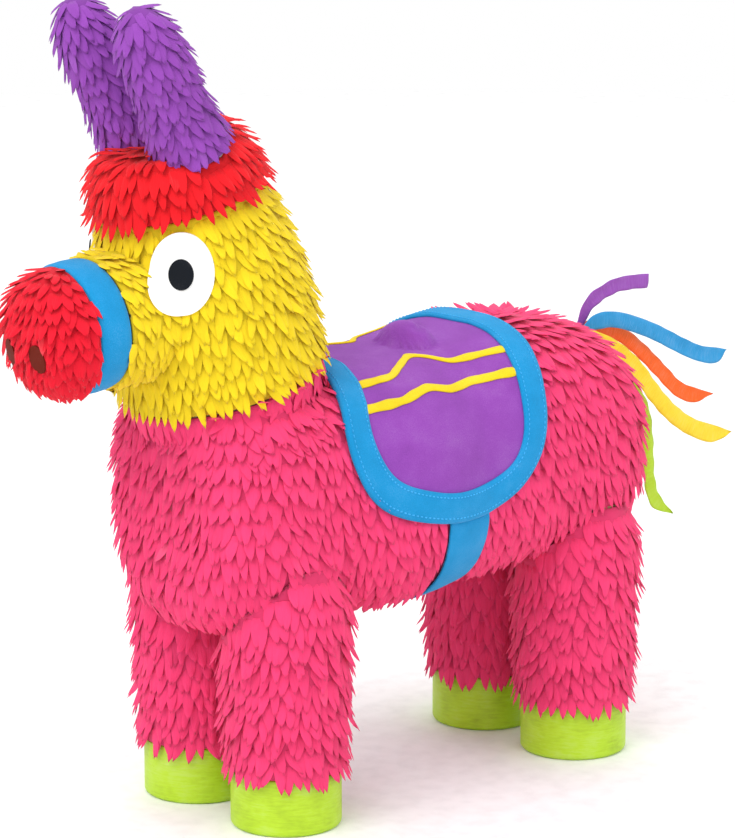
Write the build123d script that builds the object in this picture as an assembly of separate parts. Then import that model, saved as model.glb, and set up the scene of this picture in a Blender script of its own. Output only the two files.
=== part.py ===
from build123d import *
import os
from math import atan2, cos, pi, sin

# A donkey pinata: a hollow papier-mache body and head on four cardboard tube legs,
# covered with layers of crepe-paper fringe.  Millimetres, +Z up, nose towards -Y,
# the animal's left side towards +X, origin on the floor under the middle of its box.

# ---- driving dimensions -------------------------------------------------------------
WALL = 3.0                  # thickness of the papier-mache shells
FRINGE = 4.5                # depth of the crepe fringe over a shell
CARD = 2.4                  # thickness of a rolled card tube

LEG_X = 43.0                # leg axes, to either side
FRONT_LEG_Y = -126.0
REAR_LEG_Y = 114.0
HOOF_RADIUS = 34.0
HOOF_HEIGHT = 36.0
HOOF_FLOOR = 4.0
LEG_TUBE_RADIUS = 30.0
LEG_FRINGE_FOOT = 36.5      # outer radius of a leg's fringe just above the hoof
LEG_FRINGE_TOP = 41.0       # at its widest, near the belly
LEG_FRINGE_SHOULDER = 33.0  # and at its upper end, where it runs out on the body
LEG_SHOULDER = 138.0        # height of the widest place
LEG_TOP = 165.0             # height at which leg stock ends before it is fitted to the body

# Body stations over the fringe: place along Y, half width, underside and back heights.
BODY_STATIONS = [
    (-186, 33, 162, 246),
    (-182, 50, 138, 264),
    (-170, 65, 126, 275),
    (-145, 76, 120, 281),
    (-80, 82, 121, 273),
    (0, 83, 125, 272),
    (60, 82.5, 129, 281),
    (105, 79, 131, 281),
    (140, 72, 136, 268),
    (160, 56, 148, 250),
    (169, 35, 166, 230),
]
BODY_SQUARENESS = 2.7       # exponent of the body's rounded section
SECTION_POINTS = 20         # points that shape one section

NECK_Y = -138.0             # middle of the neck's hem
NECK_Z = 272.0
HEAD_LEAN = 16.0            # the head leans forward, in degrees
NECK_HOLE_RADIUS = 38.0
HEM = 2.0                   # lower edge of the head's fringe, along the head's axis
CROWN = 121.0               # lower edge of the crown's fringe, along the head's axis
HEAD_TOP = 153.0
# Radius over the fringe and place along the head's axis; the neck narrows below its hem
# and runs down inside the body.
NECK_STATIONS = [(52, -30), (58.5, -14)]
HEAD_STATIONS = [
    (62.5, 0),
    (63.5, 28),
    (63, 55),
    (60.5, 78),
    (56, 101),
    (50.5, 121),
    (48.5, 135),
    (43, 147),
]
COLLAR_INSET = 1.2          # the body's paper under the neck's hem lies this far inside it
CROWN_LIFT = 3.0            # the crown's fringe stands this much prouder than the head's

SNOUT_Y = -156.0            # point on the snout's axis, inside the head
SNOUT_Z = 325.0
SNOUT_DROOP = 4.9           # the snout points this far below level, in degrees
SNOUT_ROOT_RADIUS = 43.0
SNOUT_END_RADIUS = 40.0
BAND_START = 80.0           # the noseband, measured along the snout's axis
BAND_END = 102.0
BAND_DEPTH = 3.6
MUZZLE_TIP = 132.25
SNOUT_HOLE_RADIUS = 29.0

EYE_CENTRE = (42, -202, 349)
EYE_FACING = (0.68, -0.735, 0)
EYE_HALF_WIDTH = 19.0
EYE_HALF_HEIGHT = 24.5
EYE_CARD = 1.8
PUPIL_HALF_WIDTH = 7.4
PUPIL_HALF_HEIGHT = 9.2
PUPIL_CARD = 1.2
NOSTRIL_X = 13.0
NOSTRIL_DROP = 9.0
NOSTRIL_HALF_WIDTH = 5.5
NOSTRIL_HALF_HEIGHT = 8.5
NOSTRIL_CARD = 1.0

EAR_X = 25.2
EAR_Y = -181.0
EAR_Z = 419.0
EAR_LEAN = 28.0             # forwards, in degrees
EAR_SPLAY = 3.5             # and outwards
EAR_BURIED = 26.0           # length of ear below its visible base
EAR_HEM = -3.0              # lower edge of the ear's fringe, along the ear's axis
EAR_LENGTH = 98.0
EAR_BASE_RADIUS = 24.0
EAR_TIP_RADIUS = 16.5
EAR_FRINGE = 4.5

SADDLE_CLOTH = 1.6
SADDLE_TRIM = 1.2
SADDLE_BORDER_WIDTH = 18.0
SADDLE_ABOVE = 340.0        # the side outline is carried up past the back to here
SADDLE_FRONT = [(-66, 292), (-88, 271), (-102, 248), (-99, 222), (-83, 199), (-58, 188)]
SADDLE_REAR = [(10, 187), (32, 200), (45, 222), (50, 245), (59, 271), (70, 292)]
STRIPE_HALF_HEIGHT = 2.3
UPPER_STRIPE = [(-92, 263), (-47, 265), (-14, 270), (4, 267), (22, 269), (64, 271)]
LOWER_STRIPE = [(-96, 253), (-52, 255), (-30, 259), (-14, 256), (5, 258), (58, 260)]
GIRTH_FRONT = -33.0
GIRTH_WIDTH = 36.0
GIRTH_THICKNESS = 1.4

FLAP_FRONT = 12.0           # hinge edge of the filling flap, under the belly
FLAP_LENGTH = 54.0
FLAP_WIDTH = 64.0
FLAP_GAP = 0.4              # at the hinge edge and at each side
FLAP_REAR_GAP = 1.4         # wider, for the swing of the flap's free edge
FLAP_BARE_STRIP = 6.0       # card left bare beside the hinge, so that the fold can open
FLAP_FRINGE_INSET = 1.6
TAB_WIDTH = 16.0
TAB_ON_FLAP = 12.0          # length of the pull tab glued to the flap
TAB_PAST_FLAP = 7.0         # and the length that reaches over the belly
TAB_LIFT = 0.5              # the reaching end stands this far off the belly's fringe
TAB_THICKNESS = 1.0

TAIL_Y = 155.0              # axis about which the tail streamers swing
TAIL_Z = 262.5
TAIL_PLUG_SLOPE = 40.0
TAIL_PLUG_WIDTH = 28.0
TAIL_PLUG_THICKNESS = 9.0
TAIL_PLUG_LENGTH = 22.0
TAIL_CLEARANCE = 4.2        # from the plug's end to the swing axis
TAIL_HOLLOW_RADIUS = 8.0    # the body's fringe is cleared this far round the swing axis
TAIL_HOLLOW_WIDTH = 29.0
STREAMER_THICKNESS = 1.2
STREAMER_ROOT_WIDTH = 5.0

# Each tail streamer: its own place across the tail, its full width, whether its end is
# cut square, and the line it follows from the swing axis, as (y, z).
TAIL_ROOT = (TAIL_Y, TAIL_Z)
YELLOW_LINE = [
    TAIL_ROOT, (175, 250), (195.5, 235), (216, 213), (232, 198),
    (250, 186), (271, 178), (288, 177),
]
BLUE_LINE = [
    TAIL_ROOT, (167, 267), (187, 265.5), (216, 255), (244, 241),
    (261, 233.5), (277, 230), (287, 232.5),
]
PURPLE_LINE = [TAIL_ROOT, (165.5, 279), (185, 287), (201.5, 288), (218, 287)]
ORANGE_LINE = [
    TAIL_ROOT, (176, 261), (197, 254), (217, 240), (236, 223),
    (251, 209.5), (267, 202.5), (285, 201),
]
GREEN_LINE = [
    TAIL_ROOT, (178, 249), (199.5, 229), (214, 214), (225.5, 198),
    (230, 178), (232, 149), (238, 133), (254, 122),
]
STREAMERS = {
    "yellow": (10, 11.5, False, YELLOW_LINE),
    "blue": (5, 10.5, False, BLUE_LINE),
    "purple": (0, 9.5, True, PURPLE_LINE),
    "orange": (-5, 10.0, False, ORANGE_LINE),
    "green": (-10, 9.5, False, GREEN_LINE),
}

SIDES = {"left": 1, "right": -1}
BIG = 700.0


# ---- shared shapes ------------------------------------------------------------------
def power(value, exponent):
    """Signed power, used for rounded-square sections."""
    return abs(value) ** exponent * (1 if value >= 0 else -1)


def body_section(y, half_width, low, high):
    """One closed rounded section of the body, across the Y axis."""
    points = []
    for step in range(SECTION_POINTS):
        turn = 2 * pi * step / SECTION_POINTS - pi / 2
        x = half_width * power(cos(turn), 2 / BODY_SQUARENESS)
        z = (low + high) / 2 + (high - low) / 2 * power(sin(turn), 2 / BODY_SQUARENESS)
        points.append((x, y, z))
    return Wire([Edge.make_spline(points, periodic=True)])


def body_solid(grow):
    """The body's outline over its fringe, grown or shrunk by a distance."""
    reach = max(abs(station[0]) for station in BODY_STATIONS)
    wires = []
    for y, half_width, low, high in BODY_STATIONS:
        placed = y * (1 + grow / reach)
        wires.append(body_section(placed, half_width + grow, low - grow, high + grow))
    return Solid.make_loft(wires)


def turned(profile, apex=None):
    """A solid of revolution about local Z from (radius, height) points, lowest first."""
    low = profile[0][1]
    points = [(radius, height) for radius, height in profile]
    if apex is None:
        top = points[-1][1]
        outline = Polyline((0, low), *points, (0, top), close=True)
    else:
        shoulder = Spline(*points, (0, apex), tangents=[(0, 1), (-1, 0)])
        outline = Polyline((0, apex), (0, low), points[0]) + shoulder
    return revolve(Plane.XZ * make_face(outline), Axis.Z)


def slab(low, high):
    """A box between two corners."""
    size = [high[i] - low[i] for i in range(3)]
    middle = [(high[i] + low[i]) / 2 for i in range(3)]
    return Pos(*middle) * Box(*size)


def along(frame, start, end):
    """Everything between two heights along a frame's own Z axis."""
    return frame * slab((-BIG, -BIG, start), (BIG, BIG, end))


def half_space(side):
    """Everything on one side of the middle plane."""
    if side > 0:
        return slab((0, -BIG, -BIG), (BIG, BIG, BIG))
    return slab((-BIG, -BIG, -BIG), (0, BIG, BIG))


HEAD_FRAME = Pos(0, NECK_Y, NECK_Z) * Rot(HEAD_LEAN, 0, 0)
SNOUT_FRAME = Pos(0, SNOUT_Y, SNOUT_Z) * Rot(90 + SNOUT_DROOP, 0, 0)


def head_solid(grow):
    """The head's outline over its fringe, grown or shrunk, from inside the body to its top."""
    profile = [(radius + grow, height) for radius, height in NECK_STATIONS + HEAD_STATIONS]
    return HEAD_FRAME * turned(profile, apex=HEAD_TOP + grow)


def snout_solid(grow):
    """The snout and muzzle over their fringe, grown or shrunk, from inside the head."""
    slope = (SNOUT_END_RADIUS - SNOUT_ROOT_RADIUS) / BAND_START
    profile = [(SNOUT_ROOT_RADIUS + slope * t + grow, t) for t in (0, 40, BAND_START, BAND_END)]
    profile.append((SNOUT_END_RADIUS - 6 + grow, BAND_END + 17))
    return SNOUT_FRAME * turned(profile, apex=MUZZLE_TIP + grow)


def ear_frame(side):
    return Pos(side * EAR_X, EAR_Y, EAR_Z) * Rot(EAR_LEAN, side * EAR_SPLAY, 0)


def ear_solid(side, grow):
    """A round-ended tapering ear, grown or shrunk, with its buried root."""
    end = EAR_LENGTH - EAR_TIP_RADIUS
    taper = (EAR_TIP_RADIUS - EAR_BASE_RADIUS) / end
    heights = (-EAR_BURIED, 0, end / 2, end)
    profile = [(EAR_BASE_RADIUS + taper * height + grow, height) for height in heights]
    return ear_frame(side) * turned(profile, apex=EAR_LENGTH + grow)


def leg_stock(side, y, radius, low):
    """A plain round leg blank from a height up into the body."""
    return Pos(side * LEG_X, y, 0) * turned([(radius, low), (radius, LEG_TOP)])


# ---- outlines reused by several pieces -------------------------------------------------
BODY_OUT = body_solid(0)
BODY_CARD = body_solid(-FRINGE)
BODY_IN = body_solid(-FRINGE - WALL)
HEAD_OUT = head_solid(0)
HEAD_CARD = head_solid(-FRINGE)
HEAD_IN = head_solid(-FRINGE - WALL)
SNOUT_OUT = snout_solid(0)
SNOUT_CARD = snout_solid(-FRINGE)
SNOUT_IN = snout_solid(-FRINGE - CARD)
CROWN_OUT = head_solid(CROWN_LIFT)
NECK_COLLAR = head_solid(-COLLAR_INSET) & along(HEAD_FRAME, -BIG, HEM)

FLAP_REAR = FLAP_FRONT + FLAP_LENGTH
FLAP_HOLE = slab((-FLAP_WIDTH / 2, FLAP_FRONT, 60), (FLAP_WIDTH / 2, FLAP_REAR, 160))
FLAP_PANEL = slab(
    (-FLAP_WIDTH / 2 + FLAP_GAP, FLAP_FRONT + FLAP_GAP, 60),
    (FLAP_WIDTH / 2 - FLAP_GAP, FLAP_REAR - FLAP_REAR_GAP, 160),
)
FLAP_CLEARING = slab(
    (-FLAP_WIDTH / 2, FLAP_FRONT - FLAP_BARE_STRIP, 60),
    (FLAP_WIDTH / 2, FLAP_REAR, 160),
)
NECK_HOLE = Pos(0, NECK_Y, NECK_Z - 30) * Cylinder(NECK_HOLE_RADIUS, 80)
TAIL_FRAME = Pos(0, TAIL_Y, TAIL_Z) * Rot(TAIL_PLUG_SLOPE - 90, 0, 0)
TAIL_PLUG = TAIL_FRAME * slab(
    (-TAIL_PLUG_WIDTH / 2, -TAIL_PLUG_THICKNESS / 2, -TAIL_CLEARANCE - TAIL_PLUG_LENGTH),
    (TAIL_PLUG_WIDTH / 2, TAIL_PLUG_THICKNESS / 2, -TAIL_CLEARANCE),
)
TAIL_HOLLOW = Pos(0, TAIL_Y, TAIL_Z) * Rot(0, 90, 0) * Cylinder(TAIL_HOLLOW_RADIUS, TAIL_HOLLOW_WIDTH)


def leg_places():
    """Every leg's name, side and place along the body."""
    for end, y in (("front", FRONT_LEG_Y), ("rear", REAR_LEG_Y)):
        for name, side in SIDES.items():
            yield end + "_" + name, side, y


# ---- body and filling flap -------------------------------------------------------------
def make_body():
    shell = BODY_CARD - BODY_IN - FLAP_HOLE - NECK_HOLE - TAIL_PLUG
    parts = {}
    for name, side in SIDES.items():
        parts["torso_shell_" + name] = shell & half_space(side)
    lining = BODY_IN - body_solid(-FRINGE - WALL - 0.8)
    band = slab((-12, -BIG, 0), (12, BIG, 400))
    parts["torso_seam_tape"] = (lining & band) - FLAP_HOLE - NECK_HOLE - TAIL_PLUG
    fringe = BODY_OUT + NECK_COLLAR - BODY_CARD - HEAD_CARD
    fringe = fringe - FLAP_CLEARING - TAIL_PLUG - TAIL_HOLLOW
    for _, side, y in leg_places():
        fringe -= leg_stock(side, y, LEG_TUBE_RADIUS, HOOF_HEIGHT)
    for name, side in SIDES.items():
        parts["torso_fringe_" + name] = fringe & half_space(side)
    return parts


def make_flap():
    panel = (BODY_CARD - BODY_IN) & FLAP_PANEL
    fringe_box = slab(
        (-FLAP_WIDTH / 2 + FLAP_FRINGE_INSET, FLAP_FRONT + FLAP_BARE_STRIP, 60),
        (FLAP_WIDTH / 2 - FLAP_FRINGE_INSET, FLAP_REAR - FLAP_FRINGE_INSET, 160),
    )
    fringe = (BODY_OUT - BODY_CARD) & fringe_box
    near, far = -TAB_WIDTH / 2, TAB_WIDTH / 2
    glued = slab((near, FLAP_REAR - TAB_ON_FLAP, 60), (far, FLAP_REAR - FLAP_FRINGE_INSET, 160))
    free = slab((near, FLAP_REAR - FLAP_FRINGE_INSET, 60), (far, FLAP_REAR + TAB_PAST_FLAP, 160))
    outside = body_solid(TAB_LIFT + TAB_THICKNESS)
    tab = (outside - BODY_OUT) & glued
    tab += (outside - body_solid(TAB_LIFT)) & free
    return {"fill_flap": panel, "flap_fringe": fringe, "flap_pull_tab": tab}


# ---- legs ------------------------------------------------------------------------------
def make_legs():
    parts = {}
    for name, side, y in leg_places():
        stock = leg_stock(side, y, LEG_TUBE_RADIUS, HOOF_FLOOR)
        bore = leg_stock(side, y, LEG_TUBE_RADIUS - CARD, HOOF_FLOOR)
        parts["leg_tube_" + name] = stock - bore - BODY_CARD
        cup = Cylinder(HOOF_RADIUS, HOOF_HEIGHT, align=(Align.CENTER, Align.CENTER, Align.MIN))
        cup = fillet(cup.edges().sort_by(Axis.Z)[-1], 1.5)
        cup = fillet(cup.edges().sort_by(Axis.Z)[0], 3)
        parts["hoof_" + name] = Pos(side * LEG_X, y, 0) * cup - stock
        outline = [
            (LEG_FRINGE_FOOT, HOOF_HEIGHT),
            (LEG_FRINGE_TOP, LEG_SHOULDER),
            (LEG_FRINGE_SHOULDER, LEG_TOP),
        ]
        skirt = Pos(side * LEG_X, y, 0) * turned(outline)
        parts["leg_fringe_" + name] = skirt - stock - BODY_OUT
    return parts


# ---- head ------------------------------------------------------------------------------
def make_head():
    parts = {}
    opening = SNOUT_FRAME * Cylinder(SNOUT_HOLE_RADIUS, 200, align=(Align.CENTER, Align.CENTER, Align.MIN))
    shell = HEAD_CARD - HEAD_IN - BODY_CARD - opening
    ears = [ear_solid(side, -EAR_FRINGE) for side in SIDES.values()]
    for name, side in SIDES.items():
        parts["head_shell_" + name] = shell & half_space(side)
    lining = HEAD_IN - head_solid(-FRINGE - WALL - 0.8) - BODY_CARD
    band = slab((-12, -BIG, 0), (12, BIG, 500))
    parts["head_seam_tape"] = (lining & band) - opening
    yellow = (HEAD_OUT - HEAD_CARD) & along(HEAD_FRAME, HEM, CROWN)
    parts["head_fringe"] = yellow - BODY_OUT - SNOUT_CARD
    crown = (CROWN_OUT - HEAD_CARD) & along(HEAD_FRAME, CROWN, BIG)
    parts["crown_fringe"] = crown - ears[0] - ears[1]
    return parts


def make_snout():
    tube = (SNOUT_CARD - SNOUT_IN) & along(SNOUT_FRAME, 0, BAND_END)
    parts = {"snout_tube": tube - HEAD_CARD}
    fringe = (SNOUT_OUT - SNOUT_CARD) & along(SNOUT_FRAME, 0, BAND_START)
    parts["snout_fringe"] = fringe - HEAD_OUT
    band = (snout_solid(BAND_DEPTH - FRINGE) - SNOUT_CARD) & along(SNOUT_FRAME, BAND_START, BAND_END)
    parts["noseband"] = band
    front = along(SNOUT_FRAME, BAND_END, BIG)
    parts["muzzle_cap"] = (SNOUT_CARD - snout_solid(-FRINGE - WALL)) & front
    muzzle = (SNOUT_OUT - SNOUT_CARD) & front
    parts["muzzle_fringe"] = muzzle
    skin = snout_solid(NOSTRIL_CARD) - SNOUT_OUT
    for name, side in SIDES.items():
        centre = Plane(
            origin=(side * NOSTRIL_X, -270, SNOUT_Z - 11 - NOSTRIL_DROP),
            x_dir=(1, 0, 0),
            z_dir=(0, -1, 0),
        )
        pin = extrude(centre * Ellipse(NOSTRIL_HALF_WIDTH, NOSTRIL_HALF_HEIGHT), 40)
        parts["nostril_" + name] = skin & pin
    return parts


def make_eyes():
    """Card ovals that follow the curved cheek, each with a smaller dark oval on it."""
    face = HEAD_OUT + SNOUT_OUT
    card = head_solid(EYE_CARD) + snout_solid(EYE_CARD)
    front = head_solid(EYE_CARD + PUPIL_CARD) + snout_solid(EYE_CARD + PUPIL_CARD)
    parts = {}
    for name, side in SIDES.items():
        x, y, z = EYE_CENTRE
        nx, ny, nz = EYE_FACING
        inside = Plane(
            origin=(side * (x - 30 * nx), y - 30 * ny, z),
            x_dir=(-ny, side * nx, 0),
            z_dir=(side * nx, ny, nz),
        )
        white = extrude(inside * Ellipse(EYE_HALF_WIDTH, EYE_HALF_HEIGHT), 60)
        pupil = extrude(inside * Ellipse(PUPIL_HALF_WIDTH, PUPIL_HALF_HEIGHT), 60)
        parts["eye_white_" + name] = (card - face) & white
        parts["pupil_" + name] = (front - card) & pupil
    return parts


def make_ears():
    parts = {}
    for name, side in SIDES.items():
        core = ear_solid(side, -EAR_FRINGE)
        parts["ear_core_" + name] = core - HEAD_CARD
        fringe = (ear_solid(side, 0) - core - CROWN_OUT) & along(ear_frame(side), EAR_HEM, BIG)
        parts["ear_fringe_" + name] = fringe
    return parts


# ---- saddle blanket and girth ------------------------------------------------------------
def side_outline(inset):
    """The blanket's outline on the side of the body, moved inwards by a distance and
    carried straight up past the back."""
    line = SADDLE_FRONT + SADDLE_REAR
    edge = []
    for index, (y, z) in enumerate(line):
        before = line[max(index - 1, 0)]
        after = line[min(index + 1, len(line) - 1)]
        heading = atan2(after[1] - before[1], after[0] - before[0])
        edge.append((y - inset * sin(heading), z + inset * cos(heading)))
    top = Polyline(edge[-1], (edge[-1][0], SADDLE_ABOVE), (edge[0][0], SADDLE_ABOVE), edge[0])
    return make_face(Spline(*edge) + top)


def across(face):
    """A side outline pushed right through the body from side to side."""
    return extrude(Plane.YZ * face, BIG, both=True)


def stripe(points):
    upper = [(y, z + STRIPE_HALF_HEIGHT) for y, z in points]
    lower = [(y, z - STRIPE_HALF_HEIGHT) for y, z in points]
    ends = Line(upper[0], lower[0]) + Line(upper[-1], lower[-1])
    return across(make_face(Spline(*upper) + Spline(*lower) + ends))


def make_saddle():
    cloth_top = body_solid(SADDLE_CLOTH)
    trim = body_solid(SADDLE_CLOTH + SADDLE_TRIM) - cloth_top
    whole = across(side_outline(0))
    middle = across(side_outline(SADDLE_BORDER_WIDTH))
    parts = {"saddle_cloth": ((cloth_top - BODY_OUT) & whole) - HEAD_OUT}
    parts["saddle_border"] = (trim & whole) - middle - HEAD_OUT
    parts["saddle_stripes"] = trim & middle & (stripe(UPPER_STRIPE) + stripe(LOWER_STRIPE))
    band = slab((-BIG, GIRTH_FRONT, 0), (BIG, GIRTH_FRONT + GIRTH_WIDTH, 230))
    parts["girth_strap"] = ((body_solid(GIRTH_THICKNESS) - BODY_OUT) & band) - whole
    return parts


# ---- tail ------------------------------------------------------------------------------
def streamer(width, square, line):
    """A curved paper strip in the YZ plane that widens from its root to its full width."""
    points = [Vector(y, z) for y, z in line]
    upper, lower = [], []
    for index, point in enumerate(points):
        before = points[max(index - 1, 0)]
        after = points[min(index + 1, len(points) - 1)]
        heading = atan2(after.Y - before.Y, after.X - before.X)
        half = width / 2 if index else STREAMER_ROOT_WIDTH / 2
        upper.append((point.X - half * sin(heading), point.Y + half * cos(heading)))
        lower.append((point.X + half * sin(heading), point.Y - half * cos(heading)))
    if not square:
        tip = (points[-1].X, points[-1].Y)
        upper[-1] = lower[-1] = tip
    edges = Spline(*upper) + Spline(*lower) + Line(upper[0], lower[0])
    if square:
        edges += Line(upper[-1], lower[-1])
    return make_face(edges)


def make_tail():
    parts = {"tail_plug": TAIL_PLUG - BODY_IN}
    for colour, (x, width, square, line) in STREAMERS.items():
        strip = extrude(Plane.YZ * streamer(width, square, line), STREAMER_THICKNESS / 2, both=True)
        parts["streamer_" + colour] = Pos(x, 0, 0) * strip
    return parts


# ---- write every piece -------------------------------------------------------------------
def main():
    os.makedirs("parts", exist_ok=True)
    makers = (make_body, make_flap, make_legs, make_head, make_snout, make_eyes, make_ears)
    for maker in makers + (make_saddle, make_tail):
        for node, shape in maker().items():
            solids = shape.solids()
            piece = solids[0] if len(solids) == 1 else Compound(children=list(solids))
            piece.label = node
            export_step(piece, "parts/" + node + ".step")
            print(node, len(solids), round(sum(s.volume for s in solids) / 1000, 2), "cm3")


main()
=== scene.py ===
import math

import bmesh
import bpy
import numpy as np
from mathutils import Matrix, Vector, noise
from mathutils.bvhtree import BVHTree


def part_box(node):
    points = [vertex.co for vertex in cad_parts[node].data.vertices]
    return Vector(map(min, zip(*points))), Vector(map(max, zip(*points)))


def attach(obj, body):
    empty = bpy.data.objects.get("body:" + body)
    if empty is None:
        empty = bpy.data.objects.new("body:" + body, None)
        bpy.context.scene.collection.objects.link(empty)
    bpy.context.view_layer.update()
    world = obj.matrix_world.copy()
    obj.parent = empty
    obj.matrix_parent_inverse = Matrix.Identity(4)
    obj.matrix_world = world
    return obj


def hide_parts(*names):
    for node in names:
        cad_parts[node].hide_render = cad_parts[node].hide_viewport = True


# The looks of a donkey pinata: rows of crepe-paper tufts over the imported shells, felt
# saddle blanket, girth and noseband, card eyes and nostrils, painted hooves and paper
# streamers.  Lengths are in millimetres until a mesh is made, and then in metres.

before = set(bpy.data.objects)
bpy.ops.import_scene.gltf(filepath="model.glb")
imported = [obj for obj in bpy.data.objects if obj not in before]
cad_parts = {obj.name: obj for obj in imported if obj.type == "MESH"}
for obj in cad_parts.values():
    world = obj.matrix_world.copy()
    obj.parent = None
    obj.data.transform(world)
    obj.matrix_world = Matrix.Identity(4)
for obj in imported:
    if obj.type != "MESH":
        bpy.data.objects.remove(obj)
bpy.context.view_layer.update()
MM = 0.001
UP = Vector((0, 0, 1))


# ---- camera, floor and light ----------------------------------------------------------
CAMERA_TARGET = Vector((0, -0.024, 0.2295))
CAMERA_AZIMUTH = math.radians(49.5)
CAMERA_ELEVATION = math.radians(12.7)
CAMERA_DISTANCE = 2.6
CAMERA_LENS = 179.57
FLOOR_RADIUS = 3.0


def direction(azimuth, elevation):
    """Unit vector from the object towards a viewer at an azimuth and elevation."""
    flat = math.cos(elevation)
    return Vector((math.sin(azimuth) * flat, -math.cos(azimuth) * flat, math.sin(elevation)))


def aim(obj, place, target):
    obj.location = place
    obj.rotation_euler = (target - place).to_track_quat("-Z", "Y").to_euler()


def make_camera():
    camera = bpy.data.objects.new("camera", bpy.data.cameras.new("camera"))
    bpy.context.scene.collection.objects.link(camera)
    camera.data.lens = CAMERA_LENS
    camera.data.sensor_width = 36.0
    camera.data.clip_start = 0.05
    camera.data.clip_end = 60.0
    back = direction(CAMERA_AZIMUTH, CAMERA_ELEVATION)
    aim(camera, CAMERA_TARGET + back * CAMERA_DISTANCE, CAMERA_TARGET)
    bpy.context.scene.camera = camera


def make_light(name, azimuth, elevation, distance, size, power):
    light = bpy.data.objects.new(name, bpy.data.lights.new(name, "AREA"))
    bpy.context.scene.collection.objects.link(light)
    light.data.size = size
    light.data.energy = power
    place = CAMERA_TARGET + direction(math.radians(azimuth), math.radians(elevation)) * distance
    aim(light, place, CAMERA_TARGET)


# Azimuth, elevation, distance, size and power of each lamp.
LIGHTS = {
    "key": (20, 48, 2.4, 1.6, 30),
    "fill": (105, 30, 2.6, 2.0, 9),
    "back": (235, 45, 2.6, 2.0, 13),
}


def make_studio():
    for name, values in LIGHTS.items():
        make_light(name, *values)
    world = bpy.data.worlds.new("studio")
    bpy.context.scene.world = world
    world.use_nodes = True
    world.node_tree.nodes["Background"].inputs["Color"].default_value = (1, 1, 1, 1)
    world.node_tree.nodes["Background"].inputs["Strength"].default_value = 1.0
    bpy.context.scene.view_settings.view_transform = "Standard"


# ---- materials --------------------------------------------------------------------------
class Nodes:
    """A material's node tree, with short ways to add and join nodes."""

    def __init__(self, name, roughness, sheen=0.0, specular=0.5):
        self.material = bpy.data.materials.new(name)
        self.material.use_nodes = True
        self.tree = self.material.node_tree
        self.shader = self.tree.nodes["Principled BSDF"]
        self.shader.inputs["Roughness"].default_value = roughness
        self.shader.inputs["Sheen Weight"].default_value = sheen
        self.shader.inputs["Specular IOR Level"].default_value = specular

    def add(self, kind, **inputs):
        node = self.tree.nodes.new(kind)
        for key, value in inputs.items():
            self.feed(node, key.replace("_", " "), value)
        return node

    def feed(self, node, key, value):
        if isinstance(value, bpy.types.NodeSocket):
            self.tree.links.new(value, node.inputs[key])
        else:
            node.inputs[key].default_value = value

    def place(self):
        return self.add("ShaderNodeTexCoord").outputs["Object"]

    def attribute(self, name):
        node = self.add("ShaderNodeAttribute")
        node.attribute_name = name
        return node

    def stretched(self, vector, scale):
        node = self.add("ShaderNodeMapping", Vector=vector)
        node.inputs["Scale"].default_value = scale
        return node.outputs["Vector"]

    def noise(self, vector, scale, detail=3.0, roughness=0.55):
        node = self.add("ShaderNodeTexNoise", Vector=vector, Scale=scale, Detail=detail)
        node.inputs["Roughness"].default_value = roughness
        return node.outputs["Fac"]

    def ramp(self, factor, stops):
        node = self.add("ShaderNodeValToRGB", Fac=factor)
        elements = node.color_ramp.elements
        while len(elements) < len(stops):
            elements.new(0.5)
        for element, (position, colour) in zip(elements, stops):
            element.position = position
            element.color = (*colour, 1)
        return node.outputs["Color"]

    def math(self, operation, first, second):
        node = self.add("ShaderNodeMath")
        node.operation = operation
        for index, value in enumerate((first, second)):
            if isinstance(value, bpy.types.NodeSocket):
                self.tree.links.new(value, node.inputs[index])
            else:
                node.inputs[index].default_value = value
        return node.outputs["Value"]

    def bump(self, height, distance, strength=1.0):
        node = self.add("ShaderNodeBump", Height=height, Strength=strength)
        node.inputs["Distance"].default_value = distance
        self.tree.links.new(node.outputs["Normal"], self.shader.inputs["Normal"])

    def colour(self, socket):
        self.tree.links.new(socket, self.shader.inputs["Base Color"])
        return self.material


def tone(colour, factor):
    """A colour made darker, or lighter without passing full brightness."""
    return tuple(min(1.0, channel * factor) for channel in colour)


def pale(colour, share):
    """A colour mixed towards white."""
    return tuple(channel + (1 - channel) * share for channel in colour)


def crepe(name, colour):
    """Crepe-paper fringe: fine wrinkles along each tuft, and a shade that changes a little
    from tuft to tuft."""
    nodes = Nodes(name, 0.85, sheen=0.08, specular=0.15)
    strip = nodes.attribute("tuft_place").outputs["Vector"]
    shade = nodes.attribute("tuft_shade").outputs["Fac"]
    wrinkle = nodes.noise(nodes.stretched(strip, (1.5, 0.10, 1.0)), 1.0, 4.0, 0.6)
    mottle = nodes.noise(nodes.place(), 60.0, 3.0)
    mixed = nodes.math("ADD", nodes.math("MULTIPLY", mottle, 0.25), nodes.math("MULTIPLY", wrinkle, 0.2))
    mixed = nodes.math("ADD", mixed, shade)
    # The undercoat's low shade value reaches the dark end of this ramp: painted shade between the tufts.
    stops = [(0.0, tone(colour, 0.45)), (0.45, tone(colour, 0.86)), (0.7, colour)]
    stops.append((1.0, pale(colour, 0.10)))
    nodes.bump(wrinkle, 0.0006, 0.8)
    return nodes.colour(nodes.ramp(mixed, stops))


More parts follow.
